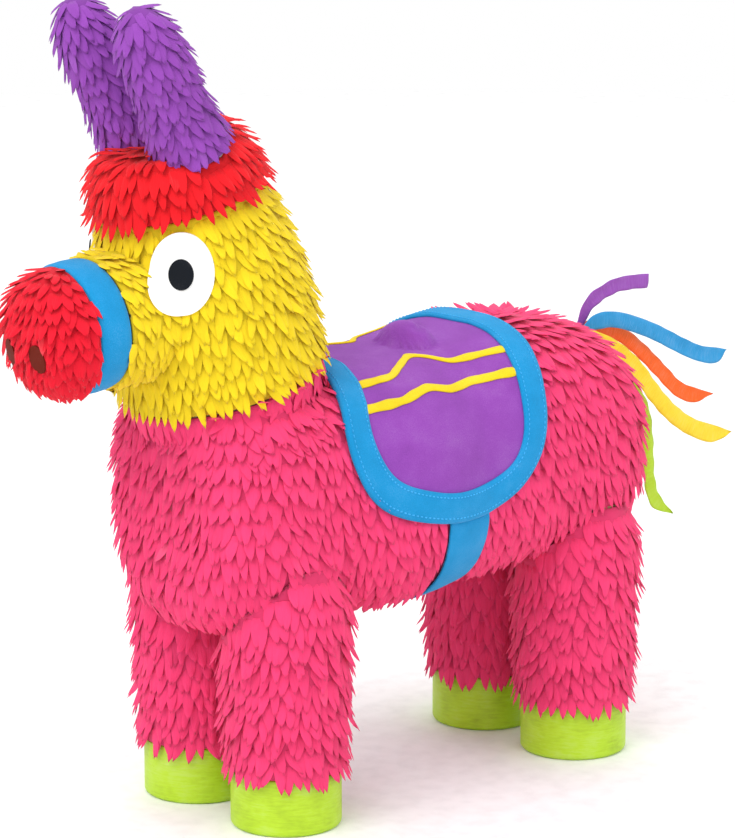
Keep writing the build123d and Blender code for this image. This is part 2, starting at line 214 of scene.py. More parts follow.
def streamer_paper(name, colour):
    """A crepe streamer: close wrinkles across the strip and a faint mottle."""
    nodes = Nodes(name, 0.7, sheen=0.2, specular=0.3)
    strip = nodes.attribute("strip_place").outputs["Vector"]
    wrinkle = nodes.noise(nodes.stretched(strip, (0.12, 1.4, 1.0)), 1.0, 4.0, 0.6)
    mottle = nodes.noise(nodes.place(), 90.0, 3.0)
    mixed = nodes.math("ADD", nodes.math("MULTIPLY", mottle, 0.4), nodes.math("MULTIPLY", wrinkle, 0.6))
    stops = [(0.2, tone(colour, 0.72)), (0.5, colour), (0.85, pale(colour, 0.12))]
    nodes.bump(wrinkle, 0.0005, 0.8)
    return nodes.colour(nodes.ramp(mixed, stops))


def felt(name, colour):
    """Pressed felt: short tangled fibres, soft blotches and a light nap."""
    nodes = Nodes(name, 0.95, sheen=0.10, specular=0.10)
    place = nodes.place()
    fibre = nodes.noise(nodes.stretched(place, (1.0, 2.4, 1.6)), 900.0, 5.0, 0.7)
    tangle = nodes.noise(place, 2600.0, 2.0)
    blotch = nodes.noise(place, 45.0, 3.0)
    mixed = nodes.math("ADD", nodes.math("MULTIPLY", fibre, 0.5), nodes.math("MULTIPLY", blotch, 0.35))
    mixed = nodes.math("ADD", mixed, nodes.math("MULTIPLY", tangle, 0.15))
    stops = [(0.3, tone(colour, 0.72)), (0.52, colour), (0.75, pale(colour, 0.10))]
    nodes.bump(nodes.math("ADD", fibre, tangle), 0.0005, 0.55)
    return nodes.colour(nodes.ramp(mixed, stops))


def card(name, colour, depth=0.0001):
    """Smooth coloured card with a faint fibre and tooth."""
    nodes = Nodes(name, 0.7, specular=0.15)
    place = nodes.place()
    tooth = nodes.noise(place, 1500.0, 4.0, 0.65)
    cloud = nodes.noise(place, 70.0, 3.0)
    mixed = nodes.math("ADD", nodes.math("MULTIPLY", tooth, 0.5), nodes.math("MULTIPLY", cloud, 0.5))
    stops = [(0.3, tone(colour, 0.86)), (0.55, colour), (0.8, pale(colour, 0.05))]
    nodes.bump(tooth, depth, 0.5)
    return nodes.colour(nodes.ramp(mixed, stops))


def painted(name, colour):
    """Brush-painted papier-mache: soft lumps, brush streaks and a satin finish."""
    nodes = Nodes(name, 0.45, specular=0.4)
    place = nodes.place()
    lumps = nodes.noise(place, 55.0, 3.0)
    streak = nodes.noise(nodes.stretched(place, (1.0, 1.0, 7.0)), 110.0, 4.0, 0.6)
    mixed = nodes.math("ADD", nodes.math("MULTIPLY", lumps, 0.55), nodes.math("MULTIPLY", streak, 0.45))
    stops = [(0.28, tone(colour, 0.74)), (0.5, colour), (0.8, pale(colour, 0.12))]
    nodes.bump(nodes.math("ADD", lumps, nodes.math("MULTIPLY", streak, 0.5)), 0.0010, 0.6)
    return nodes.colour(nodes.ramp(mixed, stops))


def papier_mache(name, colour):
    """Torn paper pasted in layers: overlapping patches with raised edges."""
    nodes = Nodes(name, 0.85, specular=0.2)
    place = nodes.place()
    patch = nodes.add("ShaderNodeTexVoronoi", Vector=place, Scale=38.0)
    edge = nodes.add("ShaderNodeTexVoronoi", Vector=place, Scale=38.0)
    edge.feature = "DISTANCE_TO_EDGE"
    grain = nodes.noise(place, 420.0, 4.0, 0.6)
    spot = nodes.add("ShaderNodeSeparateColor", Color=patch.outputs["Color"])
    mixed = nodes.math("MULTIPLY", spot.outputs["Red"], 0.5)
    mixed = nodes.math("ADD", mixed, nodes.math("MULTIPLY", grain, 0.5))
    stops = [(0.15, tone(colour, 0.72)), (0.5, colour), (0.85, pale(colour, 0.2))]
    rim = nodes.math("MINIMUM", edge.outputs["Distance"], 0.08)
    nodes.bump(nodes.math("ADD", nodes.math("MULTIPLY", rim, 6.0), grain), 0.0008, 0.6)
    return nodes.colour(nodes.ramp(mixed, stops))


PINK = (0.90, 0.052, 0.180)
YELLOW = (0.86, 0.63, 0.014)
CROWN_RED = (0.80, 0.010, 0.017)
MUZZLE_RED = (0.78, 0.009, 0.028)
PURPLE = (0.275, 0.062, 0.41)
LIME = (0.44, 0.66, 0.018)
BLUE = (0.010, 0.28, 0.60)
ORANGE = (0.94, 0.12, 0.002)
THREAD_BLUE = (0.05, 0.45, 0.85)
KRAFT = (0.42, 0.27, 0.14)

MATERIALS = {
    "pink_crepe": crepe("pink_crepe", PINK),
    "yellow_crepe": crepe("yellow_crepe", YELLOW),
    "red_crown_crepe": crepe("red_crown_crepe", CROWN_RED),
    "red_muzzle_crepe": crepe("red_muzzle_crepe", MUZZLE_RED),
    "purple_crepe": crepe("purple_crepe", PURPLE),
    "blue_felt": felt("blue_felt", BLUE),
    "purple_felt": felt("purple_felt", PURPLE),
    "blue_thread": felt("blue_thread", THREAD_BLUE),
    "yellow_ribbon": felt("yellow_ribbon", YELLOW),
    "lime_hoof": painted("lime_hoof", LIME),
    "white_card": card("white_card", (0.93, 0.93, 0.92)),
    "black_card": card("black_card", (0.004, 0.006, 0.010)),
    "brown_card": card("brown_card", (0.13, 0.010, 0.003)),
    "plain_paper": card("plain_paper", (0.80, 0.78, 0.72)),
    "card_tube": card("card_tube", KRAFT, 0.0003),
    "rolled_paper": card("rolled_paper", (0.86, 0.20, 0.36), 0.0003),
    "gummed_tape": card("gummed_tape", tone(KRAFT, 1.4), 0.0003),
    "papier_mache": papier_mache("papier_mache", (0.50, 0.44, 0.34)),
    "yellow_streamer_paper": streamer_paper("yellow_streamer_paper", YELLOW),
    "blue_streamer_paper": streamer_paper("blue_streamer_paper", BLUE),
    "purple_streamer_paper": streamer_paper("purple_streamer_paper", PURPLE),
    "orange_streamer_paper": streamer_paper("orange_streamer_paper", ORANGE),
    "green_streamer_paper": streamer_paper("green_streamer_paper", LIME),
    "floor": card("floor", (0.94, 0.94, 0.94)),
}

# CAD nodes that stay in view, by the start of their names.
KEPT_NODES = {
    "torso_shell": "papier_mache",
    "head_shell": "papier_mache",
    "muzzle_cap": "papier_mache",
    "ear_core": "papier_mache",
    "torso_seam_tape": "gummed_tape",
    "head_seam_tape": "gummed_tape",
    "leg_tube": "card_tube",
    "snout_tube": "card_tube",
    "fill_flap": "papier_mache",
    "flap_pull_tab": "plain_paper",
    "tail_plug": "rolled_paper",
    "hoof": "lime_hoof",
    "eye_white": "white_card",
    "pupil": "black_card",
    "nostril": "brown_card",
}


def dress_cad_nodes():
    for name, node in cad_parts.items():
        for start, slot in KEPT_NODES.items():
            if name.startswith(start):
                node.data.materials.clear()
                node.data.materials.append(MATERIALS[slot])


# ---- meshes -----------------------------------------------------------------------------
class Build:
    """Points, faces and point values of one piece while it is being made, in millimetres."""

    def __init__(self):
        self.points = []
        self.faces = []
        self.place = []
        self.shade = []
        self.sharp = []

    def add(self, points, faces, place=None, shade=0.3):
        start = len(self.points)
        self.points.extend(points)
        self.faces.extend([tuple(start + i for i in face) for face in faces])
        self.place.extend(place or [(0, 0, 0)] * len(points))
        self.shade.extend([shade] * len(points))
        return start

    def finish(self, name, material, body, slot=None, nodes=(), attribute="tuft_place"):
        mesh = bpy.data.meshes.new(name)
        mesh.from_pydata([tuple(c * MM for c in p) for p in self.points], [], self.faces)
        mesh.update()
        place = mesh.attributes.new(attribute, "FLOAT_VECTOR", "POINT")
        place.data.foreach_set("vector", np.array(self.place, np.float32).ravel())
        shade = mesh.attributes.new("tuft_shade", "FLOAT", "POINT")
        shade.data.foreach_set("value", np.array(self.shade, np.float32))
        mesh.polygons.foreach_set("use_smooth", [True] * len(mesh.polygons))
        self.mark_sharp(mesh)
        mesh.materials.append(MATERIALS[material])
        piece = bpy.data.objects.new(name, mesh)
        bpy.context.scene.collection.objects.link(piece)
        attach(piece, body)
        if nodes:
            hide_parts(*nodes)
        return piece

    def mark_sharp(self, mesh):
        """Edges between two points that are both marked sharp stay crisp."""
        if not self.sharp:
            return
        marked = np.zeros(len(mesh.vertices), bool)
        marked[self.sharp] = True
        ends = np.zeros(len(mesh.edges) * 2, int)
        mesh.edges.foreach_get("vertices", ends)
        ends = ends.reshape(-1, 2)
        crisp = marked[ends[:, 0]] & marked[ends[:, 1]]
        layer = mesh.attributes.new("sharp_edge", "BOOLEAN", "EDGE")
        layer.data.foreach_set("value", crisp)


def grid_faces(rows, columns, wrap=False):
    """Quads of a grid of points that is stored row by row."""
    faces = []
    last = columns if wrap else columns - 1
    for row in range(rows - 1):
        for column in range(last):
            across = (column + 1) % columns
            low, high = row * columns, (row + 1) * columns
            faces.append((low + column, low + across, high + across, high + column))
    return faces


def capped_faces(rows, columns):
    """Faces of a tube of points, stored row by row, with both of its ends closed."""
    faces = grid_faces(rows, columns, wrap=True)
    faces.append(tuple(range(columns))[::-1])
    last = (rows - 1) * columns
    faces.append(tuple(last + i for i in range(columns)))
    return faces


def hoop_faces(rows, columns):
    """Faces of a tube of points, stored row by row, that closes on itself."""
    faces = []
    for row in range(rows):
        for column in range(columns):
            ahead, across = (row + 1) % rows * columns, (column + 1) % columns
            here = row * columns
            faces.append((here + column, here + across, ahead + across, ahead + column))
    return faces


def welded(name):
    """A CAD node's mesh as a bmesh with its split vertices joined."""
    made = bmesh.new()
    made.from_mesh(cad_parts[name].data)
    bmesh.ops.remove_doubles(made, verts=made.verts, dist=2e-6)
    made.verts.index_update()
    return made


class Skin:
    """The surfaces of one or more CAD nodes, in millimetres, to place things on."""

    def __init__(self, *names):
        points, faces = [], []
        for name in names:
            made = welded(name)
            start = len(points)
            points.extend([v.co * 1000 for v in made.verts])
            faces.extend([[start + v.index for v in f.verts] for f in made.faces])
            made.free()
        self.tree = BVHTree.FromPolygons(points, faces)

    def hit(self, origin, heading, reach):
        """First point met from an origin, with its outward normal, or None."""
        point, normal, _, _ = self.tree.ray_cast(origin, heading, reach)
        if point is None:
            return None
        if normal.dot(heading) > 0:
            normal = -normal
        return point, normal

    def near(self, point, reach):
        """Nearest point and its normal within a reach, or None."""
        found, normal, _, _ = self.tree.find_nearest(point, reach)
        if found is None:
            return None
        return found, normal

    def covers(self, point, reach):
        return self.tree.find_nearest(point, reach)[0] is not None


def undercoat(build, name, ratio, shrink, shade=0.05):
    """Adds a copy of a CAD fringe, decimated by a ratio and drawn in on all sides, to show between tufts;
    its low shade value colours it darker, as painted shade between the tufts.
    """
    mesh = bpy.data.meshes.new("undercoat")
    made = welded(name)
    made.to_mesh(mesh)
    made.free()
    obj = bpy.data.objects.new("undercoat", mesh)
    bpy.context.scene.collection.objects.link(obj)
    obj.modifiers.new("fewer", "DECIMATE").ratio = ratio
    bpy.context.view_layer.update()
    lighter = obj.evaluated_get(bpy.context.evaluated_depsgraph_get()).to_mesh()
    points = []
    for vertex in lighter.vertices:
        place = vertex.co * 1000
        wobble = 0.35 * noise.noise(place * 0.09)
        points.append(place - vertex.normal * (shrink + wobble))
    faces = [tuple(polygon.vertices) for polygon in lighter.polygons]
    # The undercoat's low shade value (0.05) darkens it in the crepe material: painted shade between tufts.
    build.add(points, faces, shade=shade)
    bpy.data.objects.remove(obj)
    bpy.data.meshes.remove(mesh)


# ---- tufts ------------------------------------------------------------------------------
TUFT_STATIONS = (0.0, 0.3, 0.58, 0.82)   # share of a tuft's length at each section
TUFT_SPREAD = (0.85, 1.0, 0.88, 0.52)    # and the width there
TUFT_FACES = []
for level in range(len(TUFT_STATIONS) - 1):
    low, high = 3 * level, 3 * level + 3
    TUFT_FACES += [(low, low + 1, high + 1, high), (low + 1, low + 2, high + 2, high + 1)]
    TUFT_FACES += [(low + 2, low, high, high + 2)]
TUFT_FACES += [(9, 10, 12), (10, 11, 12), (11, 9, 12), (2, 1, 0)]


class Style:
    """How one kind of fringe is cut, in mm: the length and width of its tufts, their
    spacing, how far their tips stand off the surface and curl sideways, and how far
    their roots lie off it."""

    def __init__(self, length=17.0, width=6.4, pitch=5.2, flare=3.6, hook=2.2, root=-1.3):
        self.length = length
        self.width = width
        self.pitch = pitch
        self.flare = flare
        self.hook = hook
        self.root = root


class Fringe:
    """Lays rows of tufts on a skin.  Under what covers it a tuft lies flat, and none is
    laid where the skin has to stay clear."""

    def __init__(self, seed, skin, style, cover=None, clear=None, clear_by=2.0):
        self.random = np.random.default_rng(seed)
        self.build = Build()
        self.skin = skin
        self.style = style
        self.cover = cover
        self.clear = clear
        self.clear_by = clear_by

    def path(self, root, normal, fall, length):
        """Points and normals down the skin from a root; past an edge it runs straight on."""
        steps = [(root, normal)]
        place, facing, heading = root, normal, fall
        before = 0.0
        for share in TUFT_STATIONS[1:] + (1.0,):
            ahead = place + heading * (length * (share - before))
            before = share
            found = self.skin.near(ahead, 3.0)
            if found and found[1].dot(facing) > 0.6:
                ahead = found[0]
                facing = (facing + found[1]).normalized()
            heading = (heading - facing * heading.dot(facing)).normalized()
            place = ahead
            steps.append((place, facing))
        return steps

    def tuft(self, root, normal, fall, flare, length_scale):
        random, style = self.random, self.style
        fall = (fall - normal * fall.dot(normal)).normalized()
        side = normal.cross(fall)
        turn = random.normal(0, 0.13)
        fall = (fall * math.cos(turn) + side * math.sin(turn)).normalized()
        side = normal.cross(fall)
        length = style.length * length_scale * random.uniform(0.82, 1.14)
        half = style.width / 2 * random.uniform(0.85, 1.18)
        lift = style.flare * flare * random.uniform(0.6, 1.4)
        hook = style.hook * random.normal(0.35, 0.8)
        steps = self.path(root, normal, fall, length)
        if self.clear and any(self.clear.covers(p, self.clear_by) for p, _ in steps):
            return
        covered = [bool(self.cover) and self.cover.covers(p, 0.9) for p, _ in steps]
        if all(covered):
            return
        points, place = [], []
        for index, share in enumerate(TUFT_STATIONS + (1.0,)):
            at, facing = steps[index]
            height = style.root + (lift - style.root) * share ** 1.35
            if covered[index]:
                height = min(height, -0.3)
            across = (side - facing * side.dot(facing)).normalized()
            centre = at + facing * height + across * (hook * share * share)
            if index == len(TUFT_STATIONS):
                points.append(centre)
                place.append((0.0, length, 0.0))
                continue
            reach = half * TUFT_SPREAD[index]
            points.append(centre - across * reach - facing * 0.35)
            points.append(centre + facing * 0.55)
            points.append(centre + across * reach - facing * 0.35)
            place += [(-reach, share * length, 0), (0, share * length, 0), (reach, share * length, 0)]
        wander = random.uniform(0, 400)
        place = [(a + wander, b + wander, wander) for a, b, _ in place]
        shade = 0.36 + random.normal(0, 0.06)
        start = self.build.add(points, TUFT_FACES, place, shade)
        for level in range(len(TUFT_STATIONS)):
            self.build.sharp += [start + 3 * level, start + 3 * level + 2]

    def row(self, samples, flare=1.0, length_scale=1.0):
        """Lays one row along samples, each (point, normal, fall) or None where it breaks."""
        run = []
        for sample in list(samples) + [None]:
            if sample is not None and (not run or (sample[0] - run[-1][0]).length < 9):
                run.append(sample)
                continue
            self.run(run, flare, length_scale)
            run = [sample] if sample is not None else []

    def run(self, run, flare, length_scale):
        if len(run) < 2:
            return
        pitch = self.style.pitch
        travelled = 0.0
        due = self.random.uniform(0, pitch)
        for (a, normal, fall), (b, _, _) in zip(run, run[1:]):
            step = (b - a).length
            while due < travelled + step:
                share = (due - travelled) / max(step, 1e-6)
                wander = fall * self.random.normal(0, 0.8)
                self.tuft(a.lerp(b, share) + wander, normal, fall, flare, length_scale)
                due += pitch * self.random.uniform(0.82, 1.18)
            travelled += step


def ring(skin, centre, axis, elevation, outside, inside, step=2.0):
    """Hits round an axis, on rays that come in towards a point on it at an elevation."""
    first = axis.orthogonal().normalized()
    second = axis.cross(first)
    count = max(24, int(2 * math.pi * outside / step))
    rise, level = math.sin(elevation), math.cos(elevation)
    samples = []
    for index in range(count + 1):
        turn = 2 * math.pi * index / count
        outward = first * math.cos(turn) + second * math.sin(turn)
        ray = outward * level + axis * rise
        found = skin.hit(centre + ray * outside, -ray, outside - inside)
        fall = outward * rise - axis * level
        samples.append((found[0], found[1], fall) if found else None)
    return samples


def loaf(skin, start, end, up, elevation, outside, inside, back_end=True, step=2.0):
    """Hits round a long rounded form, on rays that come in towards its spine, from start,
    its rear, to end, its front, at an elevation.  Without its back end it is open there."""
    forward = (end - start).normalized()
    right = forward.cross(up)
    stations = []
    straight = max(2, int((end - start).length / step))
    half_turn = max(8, int(math.pi * outside / step))
    for index in range(straight):
        stations.append((start.lerp(end, index / straight), right))
    for index in range(half_turn + 1):
        turn = math.pi * index / half_turn
        stations.append((end, right * math.cos(turn) + forward * math.sin(turn)))
    for index in range(1, straight + 1):
        stations.append((end.lerp(start, index / straight), -right))
    if back_end:
        for index in range(half_turn + 1):
            turn = math.pi * index / half_turn
            stations.append((start, -right * math.cos(turn) - forward * math.sin(turn)))
    rise, level = math.sin(elevation), math.cos(elevation)
    samples = []
    for base, outward in stations:
        ray = outward * level + up * rise
        found = skin.hit(base + ray * outside, -ray, outside - inside)
        fall = outward * rise - up * level
        samples.append((found[0], found[1], fall) if found else None)
    return samples


def level_elevations(skin, base, outward, up, outside, spacing, highest, lowest):
    """Elevations whose hits are evenly spaced down one side of a form."""
    chosen, last, travelled = [], None, spacing
    for tenth in range(int(highest * 2), int(lowest * 2) - 1, -1):
        elevation = math.radians(tenth / 2)
        ray = outward * math.cos(elevation) + up * math.sin(elevation)
        found = skin.hit(base + ray * outside, -ray, outside)
        if not found:
            continue
        if last is not None:
            travelled += (found[0] - last).length
        last = found[0]
        if travelled >= spacing:
            chosen.append(elevation)
            travelled -= spacing
    return chosen


# ---- fringe pieces ------------------------------------------------------------------------
HEAD_LEAN = math.radians(16)
HEAD_AXIS = Vector((0, -math.sin(HEAD_LEAN), math.cos(HEAD_LEAN)))
NECK = Vector((0, -138, 272))
SNOUT_DROOP = math.radians(4.9)
SNOUT_AXIS = Vector((0, -math.cos(SNOUT_DROOP), -math.sin(SNOUT_DROOP)))
SNOUT_UP = Vector((0, -math.sin(SNOUT_DROOP), math.cos(SNOUT_DROOP)))
SNOUT_ROOT = Vector((0, -156, 325))
EAR_BASE = Vector((25.2, -181, 419))
EAR_LEAN = math.radians(28)
EAR_SPLAY = math.radians(3.5)
LEG_X = 43
LEG_Y = {"front": -126, "rear": 114}
SIDES = {"left": 1, "right": -1}


def make_torso_fringe():
    cover = Skin("saddle_cloth", "girth_strap")
    clear = Skin("fill_flap", "flap_fringe", "flap_pull_tab", "tail_plug")
    halves = ["torso_fringe_left", "torso_fringe_right"]
    fringe = Fringe(11, Skin(*halves), Style(), cover, clear, clear_by=8.0)
    for half in halves:
        undercoat(fringe.build, half, 0.3, 1.2)
    rear, front = Vector((0, 88, 198)), Vector((0, -104, 198))
    side = Vector((1, 0, 0))
    levels = level_elevations(fringe.skin, rear.lerp(front, 0.5), side, UP, 150, 10.5, 89, -86)
    for index, elevation in enumerate(levels):
        samples = loaf(fringe.skin, rear, front, UP, elevation, 170, 40)
        fringe.row(samples, 1.35 if index % 4 == 2 else 1.0)
    for height in (-21, -11, -1):
        samples = ring(fringe.skin, NECK + HEAD_AXIS * height, HEAD_AXIS, 0, 80, 40)
        fringe.row([sample if sample and sample[0].z > 236 else None for sample in samples])
    return fringe.build.finish("torso_tufts", "pink_crepe", "body", nodes=halves)


def make_leg_fringe(end, name, seed):
    node = "leg_fringe_" + end + "_" + name
    fringe = Fringe(seed, Skin(node), Style())
    undercoat(fringe.build, node, 1.0, 1.2)
    axis_point = Vector((SIDES[name] * LEG_X, LEG_Y[end], 0))
    for index in range(13):
        height = 46 + 10.2 * index
        samples = ring(fringe.skin, axis_point + UP * height, UP, 0, 60, 31)
        flare = 1.6 if index in (3, 7) else 1.0
        fringe.row(samples, 0.9 if index == 0 else flare)
    return fringe.build.finish(node.replace("fringe", "tufts"), "pink_crepe", "body", nodes=[node])


def make_head_fringe():
    cover = Skin("eye_white_left", "eye_white_right")
    fringe = Fringe(41, Skin("head_fringe"), Style(), cover)
    undercoat(fringe.build, "head_fringe", 0.35, 1.2)
    for index in range(11):
        height = 15 + 10.2 * index
        samples = ring(fringe.skin, NECK + HEAD_AXIS * height, HEAD_AXIS, 0, 90, 45)
        fringe.row(samples, 1.7 if index == 4 else 1.0)
    return fringe.build.finish("head_tufts", "yellow_crepe", "body", nodes=["head_fringe"])


def make_crown_fringe():
    fringe = Fringe(43, Skin("crown_fringe"), Style(flare=4.2))
    undercoat(fringe.build, "crown_fringe", 0.25, 1.2)
    centre = NECK + HEAD_AXIS * 118
    for degrees in (15, 27, 38, 49, 60, 75):
        samples = ring(fringe.skin, centre, HEAD_AXIS, math.radians(degrees), 90, 20)
        fringe.row(samples, 1.25 if degrees == 15 else 1.0)
    return fringe.build.finish("crown_tufts", "red_crown_crepe", "body", nodes=["crown_fringe"])


def make_ear_fringe(name, seed):
    node = "ear_fringe_" + name
    fringe = Fringe(seed, Skin(node), Style(length=15.0, width=6.0, pitch=5.0, flare=3.2))
    undercoat(fringe.build, node, 0.2, 1.2)
    base = Vector((SIDES[name] * EAR_BASE.x, EAR_BASE.y, EAR_BASE.z))
    upright = math.cos(EAR_SPLAY)
    forward, rise = math.sin(EAR_LEAN) * upright, math.cos(EAR_LEAN) * upright
    axis = Vector((SIDES[name] * math.sin(EAR_SPLAY), -forward, rise))
    rings = [(height, 0) for height in range(10, 83, 9)] + [(82, 25), (82, 50), (82, 74)]
    for height, degrees in rings:
        samples = ring(fringe.skin, base + axis * height, axis, math.radians(degrees), 40, 9, 1.5)
        fringe.row(samples)
    return fringe.build.finish("ear_tufts_" + name, "purple_crepe", "body", nodes=[node])


def make_snout_fringe():
    cover = Skin("eye_white_left", "eye_white_right")
    fringe = Fringe(53, Skin("snout_fringe"), Style(length=14.0, width=6.0, flare=2.6), cover)
    undercoat(fringe.build, "snout_fringe", 0.4, 1.2)
    front = SNOUT_ROOT + SNOUT_AXIS * 97
    for degrees in range(86, -87, -12):
        samples = loaf(fringe.skin, SNOUT_ROOT, front, SNOUT_UP, math.radians(degrees), 60, 32, False)
        fringe.row(samples)
    return fringe.build.finish("snout_tufts", "yellow_crepe", "body", nodes=["snout_fringe"])


def make_muzzle_fringe():
    cover = Skin("nostril_left", "nostril_right")
    fringe = Fringe(59, Skin("muzzle_fringe"), Style(length=13.0, width=5.6, pitch=4.6, flare=3.4), cover)
    undercoat(fringe.build, "muzzle_fringe", 0.3, 1.2)
    front = SNOUT_ROOT + SNOUT_AXIS * 100
    for degrees in range(84, -87, -12):
        samples = loaf(fringe.skin, SNOUT_ROOT, front, SNOUT_UP, math.radians(degrees), 60, 20, False)
        fringe.row(samples, 1.5 if degrees == 24 else 1.0)
    return fringe.build.finish("muzzle_tufts", "red_muzzle_crepe", "body", nodes=["muzzle_fringe"])


def make_flap_fringe():
    fringe = Fringe(61, Skin("flap_fringe"), Style(length=13.0, flare=2.4))
    undercoat(fringe.build, "flap_fringe", 1.0, 0.8)
    low, high = (corner * 1000 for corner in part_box("flap_fringe"))
    fringe.clear = Skin("flap_pull_tab")
    for index in range(4):
        y = low.y + 5 + index * 11
        samples = []
        for x in np.arange(low.x + 4, high.x - 3, 1.5):
            found = fringe.skin.hit(Vector((x, y, 60)), UP, 90)
            samples.append((found[0], found[1], Vector((0, 1, 0))) if found else None)
        fringe.row(samples, 1.0, 0.8 if index == 3 else 1.0)
    return fringe.build.finish("flap_tufts", "pink_crepe", "flap", nodes=["flap_fringe"])


# ---- felt: saddle blanket, girth and noseband ---------------------------------------------
COLLAR_REAR = -72.0              # ahead of here and above here the neck rises from the body,
COLLAR_LOWEST = 255.0            # and the felt keeps to the form of the back behind it


class Wrap:
    """Maps flat felt onto the body: distance round the body from the ridge of its back,
    positive on the left, and place along it, to a point and a normal."""

    def __init__(self, skin, y_low, y_high, lowest):
        self.stations = np.arange(y_low, y_high + 0.1, 4.0)
        self.tables = []
        for y in self.stations:
            self.tables.append(self.section(skin, float(y), lowest))

    def section(self, skin, y, lowest):
        lengths, xs, zs = [], [], []
        for degrees in np.arange(90, lowest - 0.1, -1.5):
            turn = math.radians(degrees)
            ray = Vector((math.cos(turn), 0, math.sin(turn)))
            found = skin.hit(Vector((0, y, 198)) + ray * 150, -ray, 100)
            if found and y < COLLAR_REAR and found[0].z > COLLAR_LOWEST:
                found = skin.hit(Vector((0, COLLAR_REAR, 198)) + ray * 150, -ray, 100)
            if not found:
                continue
            x, z = found[0].x, found[0].z
            if not xs:
                x = 0.0
            step = math.hypot(x - xs[-1], z - zs[-1]) if xs else 0.0
            lengths.append((lengths[-1] if lengths else 0.0) + step)
            xs.append(x)
            zs.append(z)
        return np.array(lengths), np.array(xs), np.array(zs)

    def base(self, a, y):
        spot = (y - self.stations[0]) / 4.0
        index = int(min(max(spot, 0), len(self.stations) - 1.001))
        share = spot - index
        side = 1 if a >= 0 else -1
        found = []
        for table in self.tables[index:index + 2]:
            found.append((np.interp(abs(a), table[0], table[1]), np.interp(abs(a), table[0], table[2])))
        x = found[0][0] * (1 - share) + found[1][0] * share
        z = found[0][1] * (1 - share) + found[1][1] * share
        return Vector((side * x, y, z))

    def normal(self, a, y):
        round_it = self.base(a + 3, y) - self.base(a - 3, y)
        along_it = self.base(a, y + 3) - self.base(a, y - 3)
        return along_it.cross(round_it).normalized() * -1

    def at(self, a, y, height):
        return self.base(a, y) + self.normal(a, y) * height

    def drop(self, y, z):
        """Distance round the body to a height on its side."""
        table = self.tables[int(round((y - self.stations[0]) / 4.0))]
        return float(np.interp(-z, -table[2], table[0]))


SADDLE_MIDDLE = (0.0, -2.0)      # flat place about which the blanket's outline is found
SADDLE_REST = 1.3                # height of the blanket's underside over the body
SADDLE_THICKNESS = 1.6
BORDER_WIDTH = 18.0
FOLD_CENTRE = (2.0, 6.0)         # a fold that stands up on the ridge of the back
FOLD_HALF = (22.0, 14.0)
FOLD_HEIGHT = 13.0


def fold(a, y):
    """Height of the fold in the blanket: a rounded hump with a crease curling behind it."""
    across = (a - FOLD_CENTRE[0]) / FOLD_HALF[0]
    along = (y - FOLD_CENTRE[1]) / FOLD_HALF[1]
    far = math.hypot(across, along)
    hump = FOLD_HEIGHT * max(0.0, 1 - far * far) ** 0.6
    turn = math.atan2(along, across)
    facing = max(0.0, math.cos(turn - 0.9))
    crease = 3.4 * math.exp(-((far - 0.55) / 0.10) ** 2) * facing
    return hump - crease


def relief(a, y):
    """The blanket's unevenness over the fringe beneath it."""
    spot = Vector((a, y, 7.0))
    return 0.9 * noise.noise(spot / 42.0) + 0.35 * noise.noise(spot / 15.0) + fold(a, y)


def find_outline(wrap, cloth):
    """The blanket's closed outline in the flat, evenly spaced."""
    radii = []
    turns = np.linspace(0, 2 * math.pi, 360, endpoint=False)
    for turn in turns:
        far = 40.0
        while far < 220 and inside(wrap, cloth, turn, far):
            far += 3.0
        near = far - 3.0
        for _ in range(7):
            middle = (near + far) / 2
            if inside(wrap, cloth, turn, middle):
                near = middle
            else:
                far = middle
        radii.append(near)
    radii = np.array(radii)
    smooth = sum(np.roll(radii, shift) for shift in range(-3, 4)) / 7
    a = SADDLE_MIDDLE[0] + smooth * np.cos(turns)
    y = SADDLE_MIDDLE[1] + smooth * np.sin(turns)
    return even(np.column_stack([a, y]), 320)


def inside(wrap, cloth, turn, far):
    a = SADDLE_MIDDLE[0] + far * math.cos(turn)
    y = SADDLE_MIDDLE[1] + far * math.sin(turn)
    if not wrap.stations[0] < y < wrap.stations[-1]:
        return False
    return cloth.covers(wrap.at(a, y, 0.8), 1.0)


def even(loop, count):
    """A closed line of evenly spaced points."""
    closed = np.vstack([loop, loop[:1]])
    steps = np.hypot(*np.diff(closed, axis=0).T)
    travelled = np.concatenate([[0], np.cumsum(steps)])
    wanted = np.linspace(0, travelled[-1], count, endpoint=False)
    return np.column_stack([np.interp(wanted, travelled, closed[:, i]) for i in range(2)])


def inward(loop):
    """Unit normals of a closed flat line, towards its middle."""
    ahead = np.roll(loop, -2, axis=0) - np.roll(loop, 2, axis=0)
    normals = np.column_stack([-ahead[:, 1], ahead[:, 0]])
    normals /= np.linalg.norm(normals, axis=1)[:, None]
    towards = loop.mean(0) - loop
    if (normals * towards).sum() < 0:
        normals = -normals
    return normals


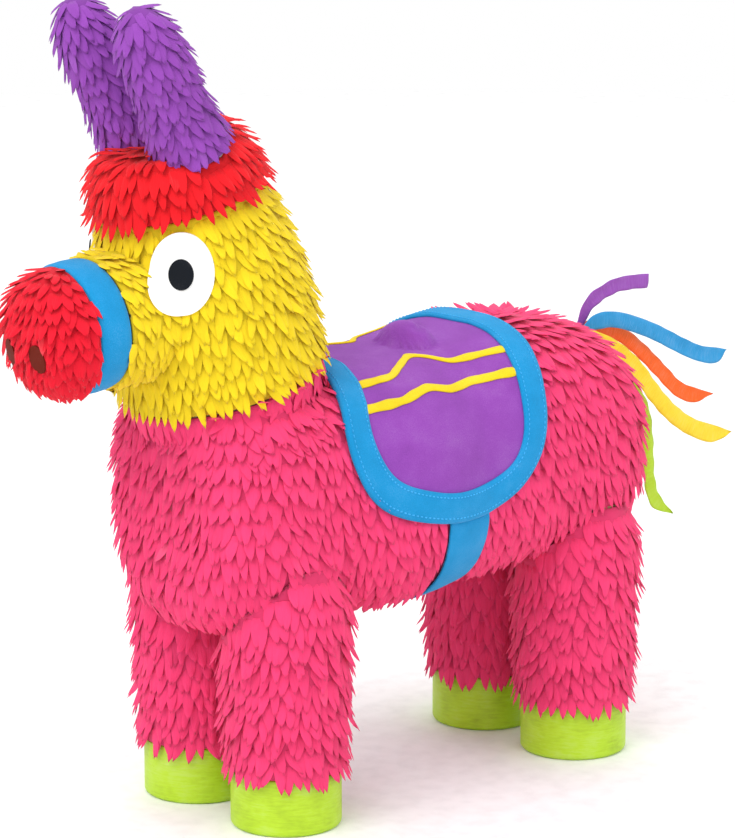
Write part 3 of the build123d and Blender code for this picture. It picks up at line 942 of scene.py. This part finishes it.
def make_blanket(wrap, outline):
    """The purple cloth: rings of points from the middle of the back out to the outline."""
    build = Build()
    near = np.array([0.02, 0.05, 0.08, 0.11, 0.14, 0.17, 0.20, 0.23, 0.26, 0.29, 0.32, 0.36])
    shares = np.concatenate([near, np.linspace(0.40, 1.0, 19)])
    loop = outline[::2]
    count = len(loop)
    middle = np.array(SADDLE_MIDDLE)
    for level in (1, 0):
        height = SADDLE_REST + SADDLE_THICKNESS * level
        points, place = [], []
        for share in shares:
            for a, y in middle + (loop - middle) * share:
                points.append(wrap.at(a, y, height + relief(a, y)))
                place.append((a, y, 0))
        points.append(wrap.at(*SADDLE_MIDDLE, height + relief(*SADDLE_MIDDLE)))
        place.append((*SADDLE_MIDDLE, 0))
        faces = grid_faces(len(shares), count, wrap=True)
        faces += [(i, len(points) - 1, (i + 1) % count) for i in range(count)]
        if level == 0:
            faces = [face[::-1] for face in faces]
        build.add(points, faces, place)
    rim = (len(shares) - 1) * count
    below = len(build.points) // 2
    for i in range(count):
        j = (i + 1) % count
        build.faces.append((rim + i, below + rim + i, below + rim + j, rim + j))
    return build.finish("saddle_blanket", "purple_felt", "body", nodes=["saddle_cloth"])


# Cross-section of the edging: how far in from the blanket's edge, and height over its rest.
EDGING = [
    (1.0, -0.5), (-0.5, 0.0), (-1.1, 1.2), (-0.8, 2.6), (0.6, 3.5), (3.0, 3.9),
    (9.0, 4.1), (15.0, 3.9), (17.3, 3.4), (18.0, 2.4), (17.6, 1.2), (9.0, 1.2), (3.0, 1.2),
]


def make_edging(wrap, outline):
    build = Build()
    normals = inward(outline)
    points, place = [], []
    for (a, y), (na, ny) in zip(outline, normals):
        for inset, height in EDGING:
            spot = (a + na * inset, y + ny * inset)
            lift = SADDLE_REST + height + relief(*spot)
            points.append(wrap.at(*spot, lift))
            place.append((*spot, 0))
    build.add(points, hoop_faces(len(outline), len(EDGING)), place)
    return build.finish("saddle_edging", "blue_felt", "body", nodes=["saddle_border"])


def stitch(build, start, end, normal, half=0.42, rise=0.5):
    """One thread stitch: a small rounded bar with its ends pulled into the felt."""
    along = end - start
    side = normal.cross(along).normalized() * half
    points = [start - normal * 0.4]
    for share in (0.15, 0.5, 0.85):
        centre = start.lerp(end, share) + normal * (rise * (1.0 if share == 0.5 else 0.7) - 0.25)
        points += [centre - side, centre + normal * 0.35, centre + side, centre - normal * 0.45]
    points.append(end - normal * 0.4)
    faces = []
    for level in (1, 5):
        for k in range(4):
            faces.append((level + k, level + (k + 1) % 4, level + 4 + (k + 1) % 4, level + 4 + k))
    for k in range(4):
        faces.append((0, 1 + (k + 1) % 4, 1 + k))
        faces.append((13, 9 + k, 9 + (k + 1) % 4))
    build.add(points, faces)


def make_edging_stitches(wrap, outline):
    build = Build()
    normals = inward(outline)
    for inset, height in ((2.6, 3.85), (15.2, 3.85)):
        loop = even(outline + normals * inset, 260)
        for index in range(len(loop)):
            first = loop[index]
            second = first + (loop[(index + 1) % len(loop)] - first) * 0.62
            ends = []
            for a, y in (first, second):
                ends.append(wrap.at(a, y, SADDLE_REST + height + relief(a, y)))
            stitch(build, ends[0], ends[1], wrap.normal(*first))
    return build.finish("saddle_stitches", "blue_thread", "body", slot="blue_felt")


# The two trim lines on each side of the blanket, as (place along the body, height).
UPPER_TRIM = [(-92, 263), (-47, 265), (-14, 270), (4, 267), (22, 269), (64, 271)]
LOWER_TRIM = [(-96, 253), (-52, 255), (-30, 259), (-14, 256), (5, 258), (58, 260)]
TRIM_HALF = 3.0


def make_trims(wrap, outline):
    """Narrow yellow ribbons laid across the cloth, their ends tucked under the edging."""
    build = Build()
    field = outline + inward(outline) * (BORDER_WIDTH - 2.0)
    random = np.random.default_rng(71)
    for side in SIDES.values():
        for line in (UPPER_TRIM, LOWER_TRIM):
            add_trim(build, wrap, field, line, side, random)
    return build.finish("saddle_trim", "yellow_ribbon", "body", nodes=["saddle_stripes"])


def add_trim(build, wrap, field, line, side, random):
    ys = np.array([point[0] for point in line], float)
    drops = np.array([wrap.drop(y, z) for y, z in line])
    stations = [y for y in np.arange(ys[0], ys[-1], 2.0)]
    spots = []
    for y in stations:
        a = side * float(np.interp(y, ys, drops))
        if within(field, a, y):
            spots.append((a, y))
    spots = smooth_line(spots, 3)
    profile = [(-1.0, 0.1), (-1.0, 0.7), (-0.4, 1.15), (0.4, 1.15), (1.0, 0.7), (1.0, 0.1)]
    points = []
    wander = random.uniform(0, 90)
    for a, y in spots:
        width = TRIM_HALF * (1 + 0.28 * noise.noise(Vector((y / 11.0 + wander, 0, 0))))
        for across, height in profile:
            spot = a + width * across
            lift = SADDLE_REST + SADDLE_THICKNESS + height + relief(spot, y)
            points.append(wrap.at(spot, y, lift))
    faces = capped_faces(len(spots), len(profile))
    if side < 0:
        faces = [face[::-1] for face in faces]
    build.add(points, faces)


def within(loop, a, y):
    """Whether a flat point is inside a closed flat line."""
    found = False
    for (a0, y0), (a1, y1) in zip(loop, np.roll(loop, -1, axis=0)):
        if (y0 > y) != (y1 > y) and a < a0 + (y - y0) * (a1 - a0) / (y1 - y0):
            found = not found
    return found


def smooth_line(points, passes):
    line = np.array(points)
    for _ in range(passes):
        line[1:-1] = (line[:-2] + 2 * line[1:-1] + line[2:]) / 4
    return line


# Cross-section of the girth: share of its width, and height over the body.
GIRTH_SECTION = [
    (0.0, 0.2), (0.0, 1.4), (0.03, 1.75), (0.5, 1.9),
    (0.97, 1.75), (1.0, 1.4), (1.0, 0.2), (0.5, 0.2),
]


def make_girth(wrap, blanket_edge):
    """The strap under the belly, its ends tucked under the blanket's edging."""
    low, high = (corner * 1000 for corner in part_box("girth_strap"))
    belly = wrap.tables[len(wrap.tables) // 2][0][-1]
    build = Build()
    rounds = np.concatenate([np.arange(blanket_edge - 12, belly, 3.0), [belly]])
    signed = list(rounds) + [-a for a in rounds[-2::-1]]
    points, place = [], []
    for a in signed:
        tucked = min(1.0, max(0.0, (abs(a) - blanket_edge + 4) / 5))
        for share, height in GIRTH_SECTION:
            y = low.y + (high.y - low.y) * share
            wave = 0.4 * noise.noise(Vector((a, y, 3)) / 22.0)
            points.append(wrap.at(a, y, (height + 0.7 * tucked) * (0.55 + 0.45 * tucked) + wave))
            place.append((a, y, 0))
    faces = capped_faces(len(signed), len(GIRTH_SECTION))
    build.add(points, [face[::-1] for face in faces], place)
    return build.finish("girth", "blue_felt", "body", nodes=["girth_strap"])


def make_noseband():
    """A felt band round the snout, closed on itself."""
    build = Build()
    profile = [(80.3, 0.0), (80.0, 1.8), (80.8, 3.2), (84.0, 3.9), (91.0, 4.2), (98.0, 3.9),
               (101.2, 3.2), (102.0, 1.8), (101.7, 0.0), (91.0, 0.0)]
    count = 120
    side = Vector((1, 0, 0))
    points, place = [], []
    for index in range(count):
        turn = 2 * math.pi * index / count
        outward = side * math.cos(turn) + SNOUT_UP * math.sin(turn)
        for along, height in profile:
            inner = 35.5 if along < 81 or along > 101 else 35.6
            wave = 0.35 * noise.noise(outward * 3 + Vector((0, along / 20, 0)))
            radius = inner + height + wave * (height > 1)
            points.append(SNOUT_ROOT + SNOUT_AXIS * along + outward * radius)
            place.append((turn * 39, along, 0))
    build.add(points, hoop_faces(count, len(profile)), place)
    return build.finish("nose_band", "blue_felt", "body", nodes=["noseband"])


def make_felt():
    skin = Skin("torso_fringe_left", "torso_fringe_right")
    wrap = Wrap(skin, -112, 80, -42)
    outline = find_outline(wrap, Skin("saddle_cloth"))
    blanket = make_blanket(wrap, outline)
    edging = make_edging(wrap, outline)
    stitches = make_edging_stitches(wrap, outline)
    trims = make_trims(wrap, outline)
    under = Wrap(skin, -40, 8, -89.5)
    edge = max(a for a, y in outline if -33 < y < 3)
    girth = make_girth(under, edge)
    band = make_noseband()


# ---- tail streamers ------------------------------------------------------------------------
# The line each streamer follows from its swing axis, as (y, z).
TAIL_ROOT = (155, 262.5)
YELLOW_LINE = [
    TAIL_ROOT, (175, 250), (195.5, 235), (216, 213),
    (232, 198), (250, 186), (271, 178), (288, 177),
]
BLUE_LINE = [
    TAIL_ROOT, (167, 267), (187, 265.5), (216, 255),
    (244, 241), (261, 233.5), (277, 230), (287, 232.5),
]
PURPLE_LINE = [TAIL_ROOT, (165.5, 279), (185, 287), (201.5, 288), (218, 287)]
ORANGE_LINE = [
    TAIL_ROOT, (176, 261), (197, 254), (217, 240),
    (236, 223), (251, 209.5), (267, 202.5), (285, 201),
]
GREEN_LINE = [
    TAIL_ROOT, (178, 249), (199.5, 229), (214, 214),
    (225.5, 198), (230, 178), (232, 149), (238, 133), (254, 122),
]
# Place across the tail, full width, square end and line of each.
STREAMERS = {
    "yellow": (10, 11.5, False, YELLOW_LINE),
    "blue": (5, 10.5, False, BLUE_LINE),
    "purple": (0, 9.5, True, PURPLE_LINE),
    "orange": (-5, 10.0, False, ORANGE_LINE),
    "green": (-10, 9.5, False, GREEN_LINE),
}
STREAMER_ROOT = 5.0
STREAMER_HALF_THICKNESS = 0.28
STREAMER_STEPS = 60


def smooth_curve(points, count):
    """Evenly stepped points of a smooth curve through flat points."""
    before = 2 * np.array(points[0]) - points[1]
    after = 2 * np.array(points[-1]) - points[-2]
    p = np.array([before, *points, after], float)
    made = []
    for step in range(count + 1):
        spot = step / count * (len(points) - 1)
        index = min(int(spot), len(points) - 2)
        t = spot - index
        a, b, c, d = p[index:index + 4]
        curve = 2 * b + (c - a) * t + (2 * a - 5 * b + 4 * c - d) * t ** 2
        curve = curve + (3 * b - a - 3 * c + d) * t ** 3
        made.append(curve / 2)
    return np.array(made)


def strip_edges(width, square, line):
    """Upper and lower edges of a streamer, as the CAD solid has them."""
    upper, lower = [], []
    for index, (y, z) in enumerate(line):
        before, after = line[max(index - 1, 0)], line[min(index + 1, len(line) - 1)]
        heading = math.atan2(after[1] - before[1], after[0] - before[0])
        half = (width if index else STREAMER_ROOT) / 2
        if index == len(line) - 1 and not square:
            half = 0.15
        upper.append((y - half * math.sin(heading), z + half * math.cos(heading)))
        lower.append((y + half * math.sin(heading), z - half * math.cos(heading)))
    return smooth_curve(upper, STREAMER_STEPS), smooth_curve(lower, STREAMER_STEPS)


def make_streamer(colour, seed):
    lane, width, square, line = STREAMERS[colour]
    upper, lower = strip_edges(width, square, line)
    random = np.random.default_rng(seed)
    wander = random.uniform(0, 50)
    shares = np.linspace(0, 1, 7)
    build = Build()
    points, place = [], []
    travelled = 0.0
    for index in range(STREAMER_STEPS + 1):
        middle = (upper[index] + lower[index]) / 2
        if index:
            before = (upper[index - 1] + lower[index - 1]) / 2
            travelled += float(np.hypot(*(middle - before)))
        grown = min(1.0, travelled / 25)
        for face in (1, -1):
            for share in shares if face > 0 else shares[::-1]:
                y, z = lower[index] + (upper[index] - lower[index]) * share
                cup = 1.1 * (4 * share * (1 - share) - 0.5) * math.sin(travelled / 21 + wander)
                edge = abs(2 * share - 1) ** 3
                ruffle = 0.55 * edge * math.sin(travelled / 2.3 + 3 * share + wander)
                x = lane + grown * (cup + ruffle) + face * STREAMER_HALF_THICKNESS
                points.append(Vector((x, y, z)))
                place.append((share * width, travelled + wander, 0))
    build.add(points, capped_faces(STREAMER_STEPS + 1, 2 * len(shares)), place)
    node = "streamer_" + colour
    slot = colour + "_streamer_paper"
    piece = build.finish(node + "_paper", slot, colour + "_streamer", nodes=[node], attribute="strip_place")


# ---- the whole scene ------------------------------------------------------------------------
def make_floor():
    bpy.ops.mesh.primitive_circle_add(vertices=96, radius=FLOOR_RADIUS, fill_type="NGON", location=(0, 0, 0))
    floor = bpy.context.object
    floor.name = "floor"
    floor.data.materials.append(MATERIALS["floor"])


def main():
    make_camera()
    make_studio()
    make_floor()
    dress_cad_nodes()
    make_torso_fringe()
    seed = 21
    for end in LEG_Y:
        for name in SIDES:
            make_leg_fringe(end, name, seed)
            seed += 1
    make_head_fringe()
    make_crown_fringe()
    make_ear_fringe("left", 47)
    make_ear_fringe("right", 48)
    make_snout_fringe()
    make_muzzle_fringe()
    make_flap_fringe()
    make_felt()
    for index, colour in enumerate(STREAMERS):
        make_streamer(colour, 81 + index)


main()
